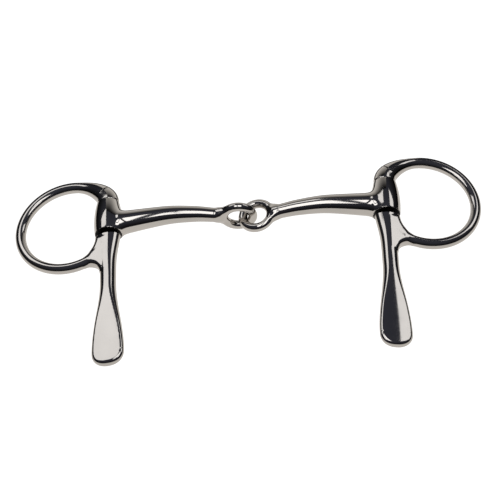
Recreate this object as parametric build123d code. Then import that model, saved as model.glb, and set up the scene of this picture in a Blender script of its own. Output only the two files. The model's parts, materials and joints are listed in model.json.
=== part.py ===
"""Half-cheek snaffle bit with a single-jointed mouthpiece, lying as it rests on a table.

Units are millimetres and degrees.  X runs along the mouthpiece, Y away from the spoons and Z up.
Every piece is first built about its own barrel centre, with the hinge pin along Y, the ring
towards +X and the eye towards -X.  The left-hand pieces are mirror images of that.
"""

from build123d import *
import os
from math import cos, radians, sin

# Mouthpiece arm: a barrel on the pin, a tapered bar that arches up and sweeps across, and a closed eye.
ARM_LENGTH = 65.2
ARM_ARCH = 2.0
ARM_SWEEP = 3.2
ARM_SWEEP_BACK = 0.6
ARM_DIAMETERS = {0.0: 13.2, 10.5: 11.9, 22.5: 10.1, 34.5: 8.8, 46.5: 7.7, 53.0: 7.2}
BARREL_LENGTH = 19.6
BARREL_TOP_DIAMETER = 11.4
BARREL_WIDEST_DIAMETER = 14.4
BARREL_RIM_DIAMETER = 13.4
BARREL_WIDEST_AT = -2.0
RIM_ROUNDING = 0.5
EYE_RADIUS = 7.25
EYE_WIRE = 4.5
EYE_ROOT_LENGTH = 12.2
EYE_ROOT_MIDDLE = 9.2
EYE_ROOT_WIDTH = 14.4

# Hinge pin, its running fit in the barrel and its seats in the cheek.
PIN_DIAMETER = 5.0
PIN_CLEARANCE = 0.05
PIN_SEAT = 4.0
END_PLAY = 0.3

# Cheek: rein ring, web and spoon in one casting.
RING_RADIUS = 25.0
RING_WIRE = 5.4
RING_CENTRE_X = 20.8
RING_CENTRE_Y = -1.0
FLARE_START = 106.0
WEB_END = -136.0
WEB_INNER_ANGLE = -112.0
WEB_OUTER_ANGLE = -108.0
CAP_WIDTH = 11.2
CAP_THICKNESS = 9.8
SHOULDER_DIAMETER = 13.2
SHOULDER_LENGTH = 17.0
SHOULDER_FOOT_DIAMETER = 7.6
NECK_AT = 40.0
NECK_WIDTH = 8.4
NECK_THICKNESS = 7.0
SPOON_LENGTH = 89.8
SPOON_WIDTH = 16.6
SPOON_WIDEST_AT = 82.0
SPOON_THICKNESS = 4.4
SPOON_ROUNDING = 1.8
WEB_THICKNESS = 4.8
WEB_OVERLAP = 0.3
WEB_INSIDE_BOW = 0.9
WEB_OUTSIDE_BOW = 1.5

# How the pieces lie on the table: barrel centres, pin directions and swing of each piece on its pin.
PIN_SPAN = 139.4
BARREL_SKEW = 0.64
BARREL_HEIGHT = {"left": 12.15, "right": 14.6}
PIN_SLOPE = {"left": 5.8, "right": 7.2}
PIN_TOE_IN = 1.07
CHEEK_DROOP = {"left": 11.25, "right": 14.3}
ARM_DROOP = {"left": 2.2, "right": 4.3}

SHOULDER_TOP = -BARREL_LENGTH / 2 - END_PLAY
CAP_BASE = BARREL_LENGTH / 2 + END_PLAY
OUTWARD = {"left": -1, "right": 1}


def ease(value, low, high):
    """Smooth step from 0 at low to 1 at high."""
    share = min(max((value - low) / (high - low), 0), 1)
    return share * share * (3 - 2 * share)


def arm_sweep(distance):
    """Sideways curve of the arm: it leaves the barrel near its rim and swings across to the eye."""
    back = ease(distance, 20, 40) * (1 - ease(distance, 44, 56))
    return ARM_SWEEP_BACK * back - ARM_SWEEP * (1 - ease(distance, 0, 34))


def arm_plane(distance):
    """Plane square to the arm's arched centreline, at a distance from the pin."""
    share = distance / ARM_LENGTH
    height = 4 * ARM_ARCH * share * (1 - share)
    slope = 4 * ARM_ARCH * (1 - 2 * share) / ARM_LENGTH
    origin = (-distance, arm_sweep(distance), height)
    return Plane(origin=origin, x_dir=(0, 1, 0), z_dir=(-1, 0, slope))


def eye_plane(stands):
    """Plane of the eye, with X back along the arm.  A standing eye has its hole along the pin."""
    end = arm_plane(ARM_LENGTH)
    hole = end.x_dir if stands else end.z_dir.cross(end.x_dir)
    return Plane(origin=end.origin, x_dir=-end.z_dir, z_dir=hole)


def make_barrel():
    """Ovoid barrel, turned about the pin."""
    half = BARREL_LENGTH / 2
    rim = (BARREL_RIM_DIAMETER / 2, -half)
    top = (BARREL_TOP_DIAMETER / 2, half)
    widest = (BARREL_WIDEST_DIAMETER / 2, BARREL_WIDEST_AT)
    side = ThreePointArc(rim, widest, top)
    ends = Polyline(top, (0, half), (0, -half), rim)
    solid = revolve(make_face([side, ends]), Axis.Y)
    return fillet(solid.edges().filter_by(GeomType.CIRCLE), RIM_ROUNDING)


def make_eye():
    """Closed eye and the root that fans out from the arm, in the eye's own plane."""
    wire = EYE_WIRE / 2
    ring = Torus(EYE_RADIUS, wire)
    arm_end = list(ARM_DIAMETERS.values())[-1] / 2
    root = loft(
        [
            Plane.YZ.offset(EYE_ROOT_LENGTH) * Circle(arm_end),
            Plane.YZ.offset(EYE_RADIUS + wire) * Ellipse(EYE_ROOT_MIDDLE / 2, (arm_end + wire) / 2),
            Plane.YZ.offset(EYE_RADIUS - wire) * Ellipse(EYE_ROOT_WIDTH / 2, wire),
        ]
    )
    hole = Cylinder(EYE_RADIUS, 3 * EYE_WIRE) - ring
    return ring + (root - hole)


def make_arm(stands):
    """One forging: barrel, tapered arm and eye, bored for the pin."""
    sections = [arm_plane(at) * Circle(size / 2) for at, size in ARM_DIAMETERS.items()]
    bar = loft(sections)
    eye = eye_plane(stands).location * make_eye()
    bore = Rot(90, 0, 0) * Cylinder(PIN_DIAMETER / 2 + PIN_CLEARANCE, 2 * BARREL_LENGTH)
    return make_barrel() + bar + eye - bore


def make_pin():
    """Plain round pin, longer than the barrel by its seat at each end."""
    return Rot(90, 0, 0) * Cylinder(PIN_DIAMETER / 2, BARREL_LENGTH + 2 * END_PLAY + 2 * PIN_SEAT)


def ring_point(angle, radius=RING_RADIUS):
    """Point on a circle about the ring's centre, at an angle from the outward direction."""
    return Vector(
        RING_CENTRE_X + radius * cos(radians(angle)),
        RING_CENTRE_Y + radius * sin(radians(angle)),
    )


def make_ring():
    """Round ring wire from the web round to where its upper end begins to flare."""
    centre = Plane(origin=(RING_CENTRE_X, RING_CENTRE_Y, 0))
    path = centre * CenterArc((0, 0), RING_RADIUS, WEB_END, FLARE_START - WEB_END)
    return sweep(Plane(path @ 0, z_dir=path % 0) * Circle(RING_WIRE / 2), path)


def make_cap():
    """Flared upper end of the ring, which closes over the top of the barrel."""
    start = ring_point(FLARE_START)
    heading = Vector(-sin(radians(FLARE_START)), cos(radians(FLARE_START)))
    path = Spline([start, (0, CAP_BASE)], tangents=[heading, (0, -1)])
    sections = []
    for share in (0.0, 0.35, 0.7, 1.0):
        thickness = RING_WIRE + (CAP_THICKNESS - RING_WIRE) * ease(share, 0, 1)
        width = RING_WIRE + (CAP_WIDTH - RING_WIRE) * ease(share, 0, 1)
        plane = Plane(path @ share, x_dir=(0, 0, 1), z_dir=path % share)
        sections.append(plane * Ellipse(thickness / 2, width / 2))
    return loft(sections)


def make_shoulder():
    """Round shoulder under the barrel, drawn in to the neck."""
    shoulder = SHOULDER_DIAMETER / 2
    foot = (SHOULDER_FOOT_DIAMETER / 2, SHOULDER_TOP - SHOULDER_LENGTH)
    side = Spline((shoulder, SHOULDER_TOP), foot, tangents=[(-0.18, -1), (-0.1, -1)])
    axis = Polyline(foot, (0, foot[1]), (0, SHOULDER_TOP), (shoulder, SHOULDER_TOP))
    return revolve(make_face([side, axis]), Axis.Y)


def make_spoon():
    """Spoon and neck: its outline cut to a thickness that thins towards the tip."""
    shoulder = SHOULDER_DIAMETER / 2
    neck = NECK_WIDTH / 2
    widest = SPOON_WIDTH / 2
    down = (0, -1)
    top = (shoulder - 1, SHOULDER_TOP)
    edge = Spline(top, (neck, -NECK_AT), (widest, -SPOON_WIDEST_AT), tangents=[down, down, down])
    back = Polyline((widest, -SPOON_WIDEST_AT), (0, -SPOON_WIDEST_AT), (0, SHOULDER_TOP), top)
    half = make_face([edge, back])
    tip = Pos(0, -SPOON_WIDEST_AT) * Ellipse(widest, SPOON_LENGTH - SPOON_WIDEST_AT)
    outline = half + mirror(half, Plane.YZ) + tip
    upper = Spline(
        (SHOULDER_TOP, NECK_THICKNESS / 2),
        (-NECK_AT, NECK_THICKNESS / 2),
        (-SPOON_LENGTH, SPOON_THICKNESS / 2),
        tangents=[(-1, 0), (-1, -0.01), (-1, 0)],
    )
    lower = mirror(upper, Plane.XZ)
    sides = make_face([upper, lower, Line(upper @ 0, lower @ 0), Line(upper @ 1, lower @ 1)])
    blade = extrude(outline, NECK_THICKNESS, both=True) & extrude(Plane.YZ * sides, SPOON_WIDTH, both=True)
    return fillet(blade.edges().filter_by(lambda edge: edge.center().Y < SHOULDER_TOP), SPOON_ROUNDING)


def make_web():
    """Flat web that fills the corner between the ring and the neck."""
    inner = ring_point(WEB_INNER_ANGLE, RING_RADIUS - RING_WIRE / 2 + WEB_OVERLAP)
    outer = ring_point(WEB_OUTER_ANGLE, RING_RADIUS + RING_WIRE / 2 - WEB_OVERLAP)
    top = Vector(SHOULDER_DIAMETER / 2 - 0.6, SHOULDER_TOP - 1)
    foot = Vector(NECK_WIDTH / 2, -NECK_AT + 3)
    inside_bow = Vector(-WEB_INSIDE_BOW, -WEB_INSIDE_BOW)
    outside_bow = Vector(-WEB_OUTSIDE_BOW, WEB_OUTSIDE_BOW)
    inside = ThreePointArc(top, (top + inner) / 2 + inside_bow, inner)
    outside = ThreePointArc(outer, (outer + foot) / 2 + outside_bow, foot)
    rest = Polyline(foot, (0, foot.Y), (0, top.Y), top)
    face = make_face([inside, Line(inner, outer), outside, rest])
    return extrude(face, WEB_THICKNESS / 2, both=True)


def make_cheek():
    """One casting: ring with its flared cap, web, shoulder and spoon, drilled for the pin."""
    cast = make_ring() + make_cap() + make_web() + make_shoulder() + make_spoon()
    return cast - make_pin()


def place(piece, side, swing):
    """Turn a right-hand piece on its pin, mirror it if it is left, and lay it on the table."""
    turned = Rot(0, swing, 0) * piece
    if side == "left":
        turned = mirror(turned, Plane.YZ)
    slope = radians(PIN_SLOPE[side])
    toe_in = -OUTWARD[side] * radians(PIN_TOE_IN)
    pin_line = Vector(sin(toe_in) * cos(slope), cos(toe_in) * cos(slope), sin(slope))
    level = Vector(1, 0, 0) - pin_line * pin_line.X
    seat = Plane(
        origin=(OUTWARD[side] * PIN_SPAN / 2, -OUTWARD[side] * BARREL_SKEW, BARREL_HEIGHT[side]),
        x_dir=level,
        z_dir=level.cross(pin_line),
    )
    return seat.location * turned


def make_all():
    """Every piece in place, with the middle of the whole bit's underside at the origin."""
    pieces = {}
    for side in OUTWARD:
        stands = side == "left"
        pieces[side + "_mouthpiece_arm"] = place(make_arm(stands), side, -ARM_DROOP[side])
        pieces[side + "_cheek"] = place(make_cheek(), side, CHEEK_DROOP[side])
        pieces[side + "_hinge_pin"] = place(make_pin(), side, CHEEK_DROOP[side])
    box = Compound([solid for piece in pieces.values() for solid in piece.solids()]).bounding_box()
    shift = Pos(-box.center().X, -box.center().Y, -box.min.Z)
    return {name: shift * piece for name, piece in pieces.items()}


if __name__ == "__main__":
    os.makedirs("parts", exist_ok=True)
    for name, piece in make_all().items():
        export_step(piece, f"parts/{name}.step")
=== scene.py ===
"""Looks of the half-cheek snaffle bit: smooth polished-steel castings around the CAD frame.

Lengths in the modelling part are millimetres in each piece's own axes: the pin along Y, the ring
towards +X, the eye towards -X and the barrel centre at zero.  Left-hand pieces are mirror images.
"""

import json
import math

import bpy
import numpy as np
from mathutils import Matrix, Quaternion, Vector


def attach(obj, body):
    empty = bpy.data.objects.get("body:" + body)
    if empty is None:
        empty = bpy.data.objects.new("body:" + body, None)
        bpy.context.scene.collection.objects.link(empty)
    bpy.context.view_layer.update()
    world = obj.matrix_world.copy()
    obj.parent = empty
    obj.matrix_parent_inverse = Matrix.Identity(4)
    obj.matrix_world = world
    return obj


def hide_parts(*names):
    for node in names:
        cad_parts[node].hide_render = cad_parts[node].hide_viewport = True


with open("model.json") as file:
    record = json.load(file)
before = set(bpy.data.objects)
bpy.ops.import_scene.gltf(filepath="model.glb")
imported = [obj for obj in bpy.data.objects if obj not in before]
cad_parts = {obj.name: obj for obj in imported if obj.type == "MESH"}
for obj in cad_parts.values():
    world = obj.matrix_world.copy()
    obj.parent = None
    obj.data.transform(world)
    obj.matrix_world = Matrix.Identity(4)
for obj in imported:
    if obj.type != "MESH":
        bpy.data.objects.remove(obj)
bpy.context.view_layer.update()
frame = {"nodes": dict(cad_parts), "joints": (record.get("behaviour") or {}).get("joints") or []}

MM = 0.001
GRID = 0.4

# Mouthpiece arm.
ARM_LENGTH = 65.2
ARM_ARCH = 2.0
ARM_SWEEP = 3.2
ARM_SWEEP_BACK = 0.6
ARM_DIAMETER = 13.2
ARM_TAPER = 0.149
ARM_TAPER_EASE = 0.0007
ARM_STARTS = 4.0
ARM_BLEND = 5.0
BARREL_HALF = 9.8
BARREL_TOP = 5.7
BARREL_WIDEST = 7.15
BARREL_WIDEST_AT = -2.0
BARREL_RIM = 6.7
BARREL_ROUNDING = 0.4
EYE_RADIUS = 7.25
EYE_WIRE = 2.25
EYE_ROOT_START = 3.5
EYE_ROOT_END = 11.0
EYE_ROOT_HALF_WIDTH = 3.4
EYE_ROOT_SPREAD = 0.5
EYE_ROOT_ROUNDING = 1.6
EYE_BLEND = 3.0
BORE = 2.55
SLOT_AT = -10.1
SLOT_HALF_WIDTH = 0.55
SLOT_FLOOR = 4.6
SLOT_REACH = 8.0
SLOT_LIP = 0.35
# Quads in the slot within this half width and reach of the pin get the near-black painted shade.
PAINTED_SHADE_HALF_WIDTH = 0.7
PAINTED_SHADE_RADIUS = 6.9

# Cheek.
RING_CENTRE = (20.8, -1.0)
RING_RADIUS = 25.0
RING_WIRE = 2.7
CAP_TURN = 8.2
CAP_RADIUS = 5.6
CAP_FLATNESS = 0.14
CAP_BASE = 10.1
FLARE_FROM = 100.0
SHOULDER_TOP = -10.1
SHOULDER_RADIUS = 6.5
SHOULDER_FOOT = 3.8
SHOULDER_LENGTH = 18.0
SHOULDER_HEIGHT = 4.5
SHOULDER_POWER = 1.1
SHOULDER_SINKS = 0.12
SHOULDER_RUNS_ON = 12.0
NECK_AT = -40.0
NECK_HALF_WIDTH = 4.2
NECK_HALF_THICKNESS = 3.5
NECK_EDGE = 3.2
NECK_STARTS = 3.0
NECK_BLEND = 1.2
SPOON_WIDEST_AT = -82.0
SPOON_END = -89.7
SPOON_HALF_WIDTH = 8.3
SPOON_HALF_THICKNESS = 2.2
SPOON_EDGE = 1.6
SPOON_CROWN = 0.6
SPOON_EDGE_FROM = -42.0
SPOON_EDGE_TO = -66.0
TIP_POWER = 2.3
TIP_SCALE = 0.93
WEB_HALF_THICKNESS = 3.0
WEB_EDGE = 2.3
WEB_HOLE_RADIUS = 12.0
WEB_HOLE_ANGLE = 256.0
WEB_FILLET = 6.0
WEB_STARTS = -1.2
WEB_LEVELS_AT = 10.0
WEB_SINKS_FROM = 8.0
WEB_SINKS_BY = 1.2
WEB_END = 12.5
WEB_BLEND = 0.8
RING_BLEND = 2.0

# Boxes that hold one cheek and one arm.
CHEEK_BOX = ((-9.6, -91, -7.6), (49.8, 28, 7.6))
ARM_BOX = ((-76, -11, -11), (8.4, 11, 11))

# How far each piece is turned on its pin as the bit lies at rest, in degrees.
CHEEK_SWING = {"left": 11.25, "right": 14.3}
ARM_SWING = {"left": -2.2, "right": -4.3}

# Steel: colours, a near-black painted shade for the slot under the barrel, and the smoothest and
# dullest polish.
STEEL_TINT = (0.53, 0.505, 0.478)
PIN_TINT = (0.5, 0.49, 0.47)
# Near-black painted shade for the slot under the barrel, in place of the shadow in the gap.
PAINTED_SLOT_SHADE_TINT = (0.03, 0.028, 0.028)
POLISHED = (0.06, 0.11)
MACHINED = (0.1, 0.2)
UNPOLISHED = (0.35, 0.6)
FINE_SCRATCHES = 0.02
COARSE_SCRATCHES = 0.1
SCRATCH_DEPTH = 0.00005


# Implicit solids: each function gives a distance that is negative inside the solid.


def blend(a, b, reach):
    """Union of two solids that flow into each other over a reach."""
    near = np.maximum(reach - np.abs(a - b), 0) / reach
    return np.minimum(a, b) - near**3 * reach / 6


def overlap(a, b, edge):
    """What two solids share, with the edge between them rounded."""
    corner = np.hypot(np.maximum(edge + a, 0), np.maximum(edge + b, 0))
    return np.minimum(np.maximum(a, b), -edge) + corner


def ease(value, low, high):
    """Smooth step from 0 at low to 1 at high."""
    share = np.clip((value - low) / (high - low), 0, 1)
    return share * share * (3 - 2 * share)


def circle_through(a, b, c):
    """Centre and radius of the circle through three points."""
    lhs = 2 * np.array([np.subtract(b, a), np.subtract(c, a)])
    rhs = np.array([np.dot(b, b) - np.dot(a, a), np.dot(c, c) - np.dot(a, a)])
    centre = np.linalg.solve(lhs, rhs)
    return centre, math.dist(centre, a)


def barrel(x, y, z):
    """Ovoid barrel round the pin."""
    centre, radius = circle_through(
        (BARREL_RIM, -BARREL_HALF), (BARREL_WIDEST, BARREL_WIDEST_AT), (BARREL_TOP, BARREL_HALF)
    )
    side = np.hypot(np.hypot(x, z) - centre[0], y - centre[1]) - radius
    return overlap(side, np.abs(y) - BARREL_HALF, BARREL_ROUNDING)


def arm_height(distance):
    """Height of the arm's arch at a distance from the pin."""
    share = distance / ARM_LENGTH
    return 4 * ARM_ARCH * share * (1 - share)


def arm_sweep(distance):
    """Sideways curve of the arm: it leaves the barrel near its rim and swings across to the eye."""
    back = ease(distance, 20, 40) * (1 - ease(distance, 44, 56))
    return ARM_SWEEP_BACK * back - ARM_SWEEP * (1 - ease(distance, 0, 34))


def bar(x, y, z):
    """Tapered bar along the arm's curve, from the barrel to the eye."""
    distance = -x
    radius = (ARM_DIAMETER - ARM_TAPER * distance + ARM_TAPER_EASE * distance**2) / 2
    side = np.hypot(y - arm_sweep(distance), z - arm_height(distance)) - radius
    return overlap(overlap(side, x + ARM_STARTS, 2.0), distance - ARM_LENGTH + EYE_RADIUS, 1.5)


def eye(x, y, z, stands):
    """Wire eye and its fanned root; a standing eye has its hole along the pin."""
    slope = -4 * ARM_ARCH / ARM_LENGTH
    size = math.hypot(1, slope)
    along = (x + ARM_LENGTH - z * slope) / size
    above = ((x + ARM_LENGTH) * slope + z) / size
    across, through = (above, y) if stands else (y, above)
    round_about = np.hypot(along, across)
    wire = np.hypot(round_about - EYE_RADIUS, through) - EYE_WIRE
    spread = np.abs(across) - (EYE_ROOT_HALF_WIDTH + EYE_ROOT_SPREAD * (EYE_ROOT_END - along))
    sheet = np.abs(through) - EYE_WIRE
    root = overlap(overlap(spread, sheet, EYE_ROOT_ROUNDING), EYE_RADIUS - round_about, 0.5)
    root = overlap(root, np.maximum(along - EYE_ROOT_END, EYE_ROOT_START - along), 0.5)
    return blend(wire, root, 1.0)


def slot(x, y, z):
    """Narrow deep slot round the pin, between the barrel's rim and the shoulder."""
    out = np.hypot(x, z)
    across = np.maximum(SLOT_FLOOR - out, out - SLOT_REACH)
    return overlap(np.abs(y - SLOT_AT) - SLOT_HALF_WIDTH, across, 0.1)


def arm(x, y, z, stands):
    """One mouthpiece forging, bored for the pin."""
    solid = blend(barrel(x, y, z), bar(x, y, z), ARM_BLEND)
    solid = blend(solid, eye(x, y, z, stands), EYE_BLEND)
    solid = overlap(solid, np.abs(y) - BARREL_HALF, 0.3)
    solid = overlap(solid, -slot(x, y, z), SLOT_LIP)
    return np.maximum(solid, BORE - np.hypot(x, z))


def ring(x, y, z):
    """Ring wire, which turns down and flares into the cap over the barrel."""
    cx, cy = RING_CENTRE
    reach = RING_RADIUS - CAP_TURN
    turn_y = cy + math.sqrt(reach**2 - (cx - CAP_TURN) ** 2)
    turn_angle = math.degrees(math.atan2(turn_y - cy, CAP_TURN - cx))
    angle = np.degrees(np.arctan2(y - cy, x - cx))
    main = np.hypot(np.hypot(x - cx, y - cy) - RING_RADIUS, z)
    oval_z = z * (1 + CAP_FLATNESS * ease(y, cy, CAP_BASE) * ease(-x, -CAP_TURN, 0))
    turn = np.hypot(np.hypot(x - CAP_TURN, y - turn_y) - CAP_TURN, oval_z)
    turn_share = np.degrees(np.arctan2(y - turn_y, x - CAP_TURN))
    travelled = np.where(turn_share < 0, 180.0, turn_share) - turn_angle
    on_turn = (angle > turn_angle) & (y > cy) & ((y > turn_y) | (x < CAP_TURN))
    swept = np.where(on_turn, turn_angle + travelled * CAP_TURN / RING_RADIUS, angle)
    full = turn_angle + (180 - turn_angle) * CAP_TURN / RING_RADIUS
    flare = ease(swept, FLARE_FROM, full)
    wire = np.where(on_turn, turn, main) - RING_WIRE - (CAP_RADIUS - RING_WIRE) * flare
    upper = overlap(wire, np.minimum(CAP_BASE - y, CAP_TURN - x), 0.5)
    lower = overlap(wire, -0.5 - x, 0.5)
    return np.where(y > cy, upper, lower)


def shoulder_height(y):
    """Half thickness of the shoulder, which sinks into the neck at its foot."""
    down = SHOULDER_TOP - y
    share = down / SHOULDER_LENGTH
    return SHOULDER_HEIGHT + (NECK_HALF_THICKNESS - SHOULDER_HEIGHT) * np.clip(share, 0, 1.3)


def shoulder(x, y, z):
    """Oval shoulder under the barrel, drawn in to the neck."""
    down = SHOULDER_TOP - y
    left = np.clip(1 - down / SHOULDER_LENGTH, 0, 1.2)
    sunk = SHOULDER_SINKS * np.maximum(down - SHOULDER_LENGTH, 0)
    width = SHOULDER_FOOT + (SHOULDER_RADIUS - SHOULDER_FOOT) * left**SHOULDER_POWER - sunk
    high = np.minimum(shoulder_height(y), width)
    side = (np.hypot(x / width, z / high) - 1) * high
    return overlap(overlap(side, -down, 0.3), down - SHOULDER_LENGTH - SHOULDER_RUNS_ON, 1.0)


def spoon(x, y, z):
    """Round neck that flattens into the spoon: a crowned blade with round edges."""
    widen = ease(-y, -NECK_AT, -SPOON_WIDEST_AT)
    width = NECK_HALF_WIDTH + (SPOON_HALF_WIDTH - NECK_HALF_WIDTH) * widen
    flank = np.abs(x) - width
    past = np.maximum(SPOON_WIDEST_AT - y, 0) / (SPOON_WIDEST_AT - SPOON_END)
    tip = (np.abs(x / SPOON_HALF_WIDTH) ** TIP_POWER + past**TIP_POWER) ** (1 / TIP_POWER) - 1
    outline = np.where(past > 0, tip * TIP_SCALE * SPOON_HALF_WIDTH, flank)
    thin = ease(-y, -NECK_AT, -SPOON_END)
    half = NECK_HALF_THICKNESS + (SPOON_HALF_THICKNESS - NECK_HALF_THICKNESS) * thin
    face = np.abs(z) - half + SPOON_CROWN * (x / width) ** 2
    edge = NECK_EDGE + (SPOON_EDGE - NECK_EDGE) * ease(-y, -SPOON_EDGE_FROM, -SPOON_EDGE_TO)
    return overlap(overlap(outline, face, edge), y - SHOULDER_TOP + NECK_STARTS, 1.0)


def web(x, y, z):
    """Web between the ring and the neck: level with the neck's crown, thinner by the ring."""
    cx, cy = RING_CENTRE
    angle = math.radians(WEB_HOLE_ANGLE)
    reach = RING_RADIUS - RING_WIRE - WEB_HOLE_RADIUS
    hole = (cx + reach * math.cos(angle), cy + reach * math.sin(angle))
    fillet_x = NECK_HALF_WIDTH + WEB_FILLET
    fillet_y = cy - math.sqrt((RING_RADIUS + RING_WIRE + WEB_FILLET) ** 2 - (cx - fillet_x) ** 2)
    inner = WEB_HOLE_RADIUS - np.hypot(x - hole[0], y - hole[1])
    outer = WEB_FILLET - np.hypot(x - fillet_x, y - fillet_y)
    sides = np.maximum(WEB_STARTS - x, x - WEB_END)
    ends = np.maximum(y - SHOULDER_TOP + 1, fillet_y - y)
    corner = overlap(np.maximum(inner, outer), np.maximum(sides, ends), 0.5)
    thick = shoulder_height(y)
    half = thick + (WEB_HALF_THICKNESS - thick) * np.clip(x / WEB_LEVELS_AT, 0, 1)
    half = half - WEB_SINKS_BY * ease(x, WEB_SINKS_FROM, WEB_END)
    return overlap(corner, np.abs(z) - half, WEB_EDGE)


def cheek(x, y, z):
    """One cheek casting."""
    solid = blend(spoon(x, y, z), shoulder(x, y, z), NECK_BLEND)
    solid = blend(solid, web(x, y, z), WEB_BLEND)
    solid = blend(solid, ring(x, y, z), RING_BLEND)
    return overlap(solid, -slot(x, y, z), SLOT_LIP)


# Meshes from implicit solids.

CORNERS = [(i, j, k) for i in (0, 1) for j in (0, 1) for k in (0, 1)]
EDGES = [(a, b) for a in CORNERS for b in CORNERS if a < b and sum(np.abs(np.subtract(a, b))) == 1]


def surface_net(values, low, step):
    """Quads round the zero surface of a grid of distances, one vertex per crossed cell."""
    cells = tuple(n - 1 for n in values.shape)

    def corner(c):
        return values[tuple(slice(o, o + n) for o, n in zip(c, cells))]

    total = np.zeros(cells + (3,))
    crossings = np.zeros(cells)
    for a, b in EDGES:
        va, vb = corner(a), corner(b)
        crossed = (va < 0) != (vb < 0)
        share = np.where(crossed, va / np.where(crossed, va - vb, 1), 0)
        for axis in range(3):
            total[..., axis] += crossed * (a[axis] + share * (b[axis] - a[axis]))
        crossings += crossed
    used = crossings > 0
    index = np.full(cells, -1)
    index[used] = np.arange(used.sum())
    points = np.argwhere(used) + total[used] / crossings[used][:, None]
    quads = []
    inside = values < 0
    for axis in range(3):
        u, v = (axis + 1) % 3, (axis + 2) % 3
        here = [slice(1, -1)] * 3
        here[axis] = slice(0, -1)
        there = list(here)
        there[axis] = slice(1, None)
        change = inside[tuple(here)].astype(int) - inside[tuple(there)].astype(int)
        spots = np.argwhere(change != 0)
        signs = change[tuple(spots.T)]
        base = spots + 1
        base[:, axis] -= 1
        steps = np.zeros((4, 3), int)
        steps[:, u] = (-1, 0, 0, -1)
        steps[:, v] = (-1, -1, 0, 0)
        ring_of_cells = np.stack([index[tuple((base + s).T)] for s in steps], axis=1)
        ring_of_cells[signs < 0] = ring_of_cells[signs < 0][:, ::-1]
        quads.append(ring_of_cells)
    return low + points * step, np.concatenate(quads)


def slope_of(solid, points):
    """Gradient of a solid's distance at some points."""
    small = 0.02
    parts = []
    for axis in range(3):
        shift = np.zeros(3)
        shift[axis] = small
        parts.append(solid(*(points + shift).T) - solid(*(points - shift).T))
    return np.stack(parts, axis=1) / (2 * small)


def build(solid, low, high):
    """Points, quads and outward normals of an implicit solid inside a box."""
    low = np.array(low, float)
    counts = np.ceil((np.array(high) - low) / GRID).astype(int) + 1
    axes = [low[i] + GRID * np.arange(counts[i]) for i in range(3)]
    values = solid(*np.meshgrid(*axes, indexing="ij", sparse=True))
    points, quads = surface_net(values, low, GRID)
    for _ in range(4):
        slope = slope_of(solid, points)
        size = np.maximum((slope**2).sum(axis=1), 0.2)
        move = (solid(*points.T) / size)[:, None] * slope
        points = points - np.clip(move, -0.5 * GRID, 0.5 * GRID)
    normals = slope_of(solid, points)
    return points, quads, normals / np.linalg.norm(normals, axis=1)[:, None]


def hinge(side):
    """The CAD hinge of one side: barrel centre in metres and the pin's direction."""
    joint = next(j for j in frame["joints"] if j["name"] == side + "_cheek_hinge")
    return np.array(joint["pos_m"]), np.array(joint["axis"])


def place(mesh, side, swing):
    """Turn a built piece on its pin, mirror it if it is left, and put it in the frame."""
    points, quads, normals = mesh
    centre, pin_line = hinge(side)
    level = np.array([1.0, 0, 0]) - pin_line * pin_line[0]
    level /= np.linalg.norm(level)
    up = np.cross(level, pin_line)
    angle = math.radians(swing)
    cosine, sine = math.cos(angle), math.sin(angle)
    turn = np.array([[cosine, 0, sine], [0, 1, 0], [-sine, 0, cosine]])
    hand = -1 if side == "left" else 1
    to_frame = np.stack([level, pin_line, up], axis=1) @ np.diag([hand, 1, 1]) @ turn
    if hand < 0:
        quads = quads[:, ::-1]
    return centre + points @ to_frame.T * MM, quads, normals @ to_frame.T


def in_painted_shade(mesh):
    """1 for each quad of a built piece that lies in the slot under the barrel and gets the painted
    shade, 0 for the others.
    """
    points, quads, _ = mesh
    x, y, z = points[quads].mean(axis=1).T
    return ((np.abs(y - SLOT_AT) < PAINTED_SHADE_HALF_WIDTH) & (np.hypot(x, z) < PAINTED_SHADE_RADIUS)).astype(int)


def piece(name, mesh, steels, steel_of_quad):
    """A smooth mesh object from points, quads and normals, with a steel for each quad."""
    points, quads, normals = mesh
    data = bpy.data.meshes.new(name)
    data.from_pydata(points.tolist(), [], quads.tolist())
    data.shade_smooth()
    data.normals_split_custom_set_from_vertices(normals.tolist())
    for material in steels:
        data.materials.append(material)
    data.polygons.foreach_set("material_index", steel_of_quad)
    thing = bpy.data.objects.new(name, data)
    bpy.context.scene.collection.objects.link(thing)
    return thing


# Materials.


def steel(name, tint, scratches, polish):
    """Stainless steel with faint streaks, scratches and handling marks that wear the polish; with a
    near-black tint it is the painted shade in the slot.
    """
    smooth, worn = polish
    material = bpy.data.materials.new(name)
    material.use_nodes = True
    nodes, links = material.node_tree.nodes, material.node_tree.links
    shader = nodes["Principled BSDF"]
    shader.inputs["Metallic"].default_value = 1.0
    place_in = nodes.new("ShaderNodeTexCoord").outputs["Object"]

    def noise(scale, detail):
        node = nodes.new("ShaderNodeTexNoise")
        node.inputs["Scale"].default_value = scale
        node.inputs["Detail"].default_value = detail
        links.new(place_in, node.inputs["Vector"])
        return node.outputs["Fac"]

    def ramp(source, *stops):
        node = nodes.new("ShaderNodeValToRGB")
        links.new(source, node.inputs["Fac"])
        node.color_ramp.elements[0].position, node.color_ramp.elements[0].color = stops[0]
        node.color_ramp.elements[1].position, node.color_ramp.elements[1].color = stops[1]
        return node.outputs["Color"]

    dull = tuple(c * 0.93 for c in tint)
    colour = ramp(noise(60, 4), (0.35, (*dull, 1)), (0.65, (*tint, 1)))
    links.new(colour, shader.inputs["Base Color"])
    rough = ramp(noise(140, 6), (0.3, (smooth,) * 3 + (1,)), (0.75, (worn,) * 3 + (1,)))
    links.new(rough, shader.inputs["Roughness"])
    bump = nodes.new("ShaderNodeBump")
    bump.inputs["Strength"].default_value = scratches
    bump.inputs["Distance"].default_value = SCRATCH_DEPTH
    links.new(noise(2500, 3), bump.inputs["Height"])
    links.new(bump.outputs["Normal"], shader.inputs["Normal"])
    return material


# The bit.

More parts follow.
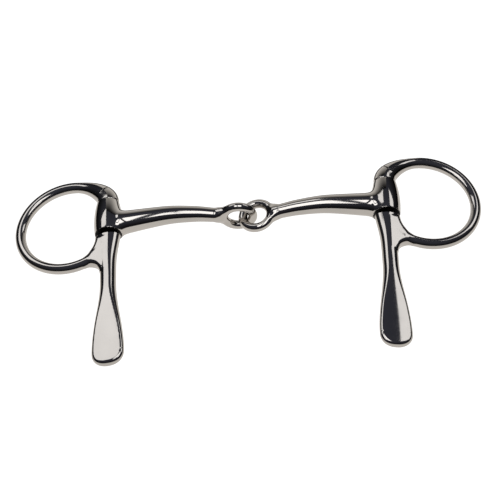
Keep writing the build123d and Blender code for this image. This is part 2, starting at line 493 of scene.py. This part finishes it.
mouth_steel = steel("mouthpiece_steel", STEEL_TINT, FINE_SCRATCHES, POLISHED)
cheek_steel = steel("cheek_steel", STEEL_TINT, FINE_SCRATCHES, POLISHED)
pin_steel = steel("pin_steel", PIN_TINT, COARSE_SCRATCHES, MACHINED)
# Painted shade: near-black steel for the quads in the slot under the barrel.
slot_painted_shade = steel("slot_painted_shade", PAINTED_SLOT_SHADE_TINT, COARSE_SCRATCHES, UNPOLISHED)



def standing_arm(x, y, z):
    """Left-hand arm, whose eye stands upright."""
    return arm(x, y, z, True)


def lying_arm(x, y, z):
    """Right-hand arm, whose eye lies flat."""
    return arm(x, y, z, False)


cheek_mesh = build(cheek, *CHEEK_BOX)
# Quads in the slot under the barrel get the painted shade.
cheek_painted_shade = in_painted_shade(cheek_mesh)
for side, arm_solid in (("left", standing_arm), ("right", lying_arm)):
    arm_mesh = build(arm_solid, *ARM_BOX)
    # Quads in the slot under the barrel get the painted shade.
    arm_painted_shade = in_painted_shade(arm_mesh)
    arm_mesh = place(arm_mesh, side, ARM_SWING[side])
    forging = piece(side + "_arm_forging", arm_mesh, (mouth_steel, slot_painted_shade), arm_painted_shade)
    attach(forging, side + "_arm")
    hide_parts(side + "_mouthpiece_arm")
    placed = place(cheek_mesh, side, CHEEK_SWING[side])
    casting = piece(side + "_cheek_casting", placed, (cheek_steel, slot_painted_shade), cheek_painted_shade)
    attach(casting, side + "_cheekpiece")
    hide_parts(side + "_cheek")
    pin = frame["nodes"][side + "_hinge_pin"]
    pin.data.materials.clear()
    pin.data.materials.append(pin_steel)


# Stage, lights and camera.

CAMERA_ELEVATION = 47.0
CAMERA_AZIMUTH = 3.5
CAMERA_ROLL = -6.5
CAMERA_DISTANCE = 3.0
VIEW_WIDTH = 0.25
AIM = (0.00047, 0.01563, 0.0)

# Half width, distance behind the origin and height of the card behind the table.
BACKDROP = (0.1, 0.17, 0.2)
BACKDROP_GLOW = 0.85

# Table as the steel mirrors it: how far it is bright, and where it has faded out.
TABLE_SIDE = (0.118, 0.15)
TABLE_FRONT = (-0.062, -0.1)
TABLE_BACK = (0.062, 0.09)
TABLE_GLOW = 0.86
WARM_WHITE = (1, 0.97, 0.93, 1)
FLOOR_TONE = 0.4
FLOOR_GLOW = 1.05
FLOOR_SIZE = 12.0

# Panel lights that face down: two opposite corners, height and radiance.
PANELS = {
    "overhead_left": ((-0.09, -0.14), (-0.025, 0.04), 0.26, 2.0),
    "overhead_right": ((0.0, -0.14), (0.09, 0.04), 0.26, 2.0),
    "back_left": ((-1.7, 0.6), (-0.37, 1.35), 1.5, 1.3),
    "back_right": ((0.87, 0.6), (2.2, 1.35), 1.5, 1.3),
}


def level_between(nodes, links, value, dark, bright):
    """Smooth step of a value, 0 at dark and 1 at bright."""
    step = nodes.new("ShaderNodeMapRange")
    step.interpolation_type = "SMOOTHSTEP"
    step.inputs["From Min"].default_value = dark
    step.inputs["From Max"].default_value = bright
    links.new(value, step.inputs["Value"])
    return step.outputs["Result"]


def combine(nodes, links, operation, first, second=None):
    """Output of a maths node on a value, alone or with another value or number."""
    node = nodes.new("ShaderNodeMath")
    node.operation = operation
    links.new(first, node.inputs[0])
    if isinstance(second, float):
        node.inputs[1].default_value = second
    elif second is not None:
        links.new(second, node.inputs[1])
    return node.outputs[0]


def place_parts(nodes, links, output):
    """X, Y and Z of a texture coordinate."""
    parts = nodes.new("ShaderNodeSeparateXYZ")
    links.new(nodes.new("ShaderNodeTexCoord").outputs[output], parts.inputs[0])
    return parts.outputs


def glowing(name, base, colour, strength):
    """Material with its own light and no shine."""
    material = bpy.data.materials.new(name)
    material.use_nodes = True
    shader = material.node_tree.nodes["Principled BSDF"]
    shader.inputs["Base Color"].default_value = (base, base, base, 1)
    shader.inputs["Roughness"].default_value = 0.9
    shader.inputs["Specular IOR Level"].default_value = 0.0
    shader.inputs["Emission Color"].default_value = colour
    shader.inputs["Emission Strength"].default_value = strength
    return material


def level_plane(name, height, material):
    """Large level plane."""
    bpy.ops.mesh.primitive_plane_add(size=FLOOR_SIZE, location=(0, 0, height))
    plane = bpy.context.object
    plane.name = name
    plane.data.materials.append(material)
    return plane


def only_in_reflections(thing):
    """Hide a stage object from everything but the steel."""
    thing.visible_camera = False
    thing.visible_diffuse = False


def make_floor():
    """Plain white floor, which the steel mirrors as a small white table top in a dark room."""
    floor = level_plane("floor", 0, glowing("floor", FLOOR_TONE, (1, 1, 1, 1), FLOOR_GLOW))
    floor.visible_glossy = False
    material = glowing("table_in_reflections", 0, WARM_WHITE, 0)
    only_in_reflections(level_plane("table_in_reflections", -0.0001, material))
    nodes, links = material.node_tree.nodes, material.node_tree.links
    parts = place_parts(nodes, links, "Object")
    out = combine(nodes, links, "ABSOLUTE", parts["X"])
    bright, dark = TABLE_SIDE
    level = level_between(nodes, links, out, dark, bright)
    for bright, dark in (TABLE_FRONT, TABLE_BACK):
        step = level_between(nodes, links, parts["Y"], dark, bright)
        level = combine(nodes, links, "MULTIPLY", level, step)
    level = combine(nodes, links, "MULTIPLY", level, TABLE_GLOW)
    links.new(level, nodes["Principled BSDF"].inputs["Emission Strength"])


def make_backdrop():
    """Small pale card that stands behind the table, darker towards its top, seen only in the steel."""
    half_width, behind, height = BACKDROP
    mesh = bpy.data.meshes.new("backdrop")
    corners = [(x, behind, z) for z in (0, height) for x in (-half_width, half_width)]
    mesh.from_pydata(corners, [], [(0, 1, 3, 2)])
    card = bpy.data.objects.new("backdrop", mesh)
    bpy.context.scene.collection.objects.link(card)
    only_in_reflections(card)
    material = glowing("backdrop", 0, WARM_WHITE, 0)
    nodes, links = material.node_tree.nodes, material.node_tree.links
    level = level_between(nodes, links, place_parts(nodes, links, "Object")["Z"], height, 0.0)
    level = combine(nodes, links, "MULTIPLY", level, BACKDROP_GLOW)
    links.new(level, nodes["Principled BSDF"].inputs["Emission Strength"])
    mesh.materials.append(material)


def softbox(name, low, high, height, radiance):
    """Level panel light that faces down, over a rectangle between two corners."""
    light = bpy.data.lights.new(name, "AREA")
    light.shape = "RECTANGLE"
    light.size, light.size_y = high[0] - low[0], high[1] - low[1]
    light.energy = radiance * math.pi * light.size * light.size_y
    lamp = bpy.data.objects.new(name, light)
    lamp.location = ((low[0] + high[0]) / 2, (low[1] + high[1]) / 2, height)
    lamp.visible_camera = False
    bpy.context.scene.collection.objects.link(lamp)


def make_camera():
    """Camera at the elevation, azimuth and tilt from which the bit is seen."""
    azimuth, elevation, roll = map(math.radians, (CAMERA_AZIMUTH, CAMERA_ELEVATION, CAMERA_ROLL))
    back = Vector(
        (
            math.sin(azimuth) * math.cos(elevation),
            -math.cos(azimuth) * math.cos(elevation),
            math.sin(elevation),
        )
    )
    data = bpy.data.cameras.new("camera")
    data.sensor_width = 36.0
    data.lens = data.sensor_width * CAMERA_DISTANCE / VIEW_WIDTH
    camera = bpy.data.objects.new("camera", data)
    camera.rotation_mode = "QUATERNION"
    camera.location = Vector(AIM) + back * CAMERA_DISTANCE
    camera.rotation_quaternion = (-back).to_track_quat("-Z", "Y") @ Quaternion((0, 0, 1), roll)
    bpy.context.scene.collection.objects.link(camera)
    bpy.context.scene.camera = camera


def make_room():
    """Dark room, a little less dark and cooler high up."""
    world = bpy.data.worlds.new("room")
    world.use_nodes = True
    nodes, links = world.node_tree.nodes, world.node_tree.links
    tone = nodes.new("ShaderNodeValToRGB")
    links.new(place_parts(nodes, links, "Generated")["Z"], tone.inputs["Fac"])
    low, high = tone.color_ramp.elements
    low.position, low.color = 0.2, (0.012, 0.012, 0.014, 1)
    high.position, high.color = 0.95, (0.05, 0.053, 0.07, 1)
    links.new(tone.outputs["Color"], nodes["Background"].inputs["Color"])
    bpy.context.scene.world = world


make_camera()
make_floor()
make_backdrop()
for panel, (low, high, height, radiance) in PANELS.items():
    softbox(panel, low, high, height, radiance)
make_room()
bpy.context.scene.view_settings.view_transform = "Standard"
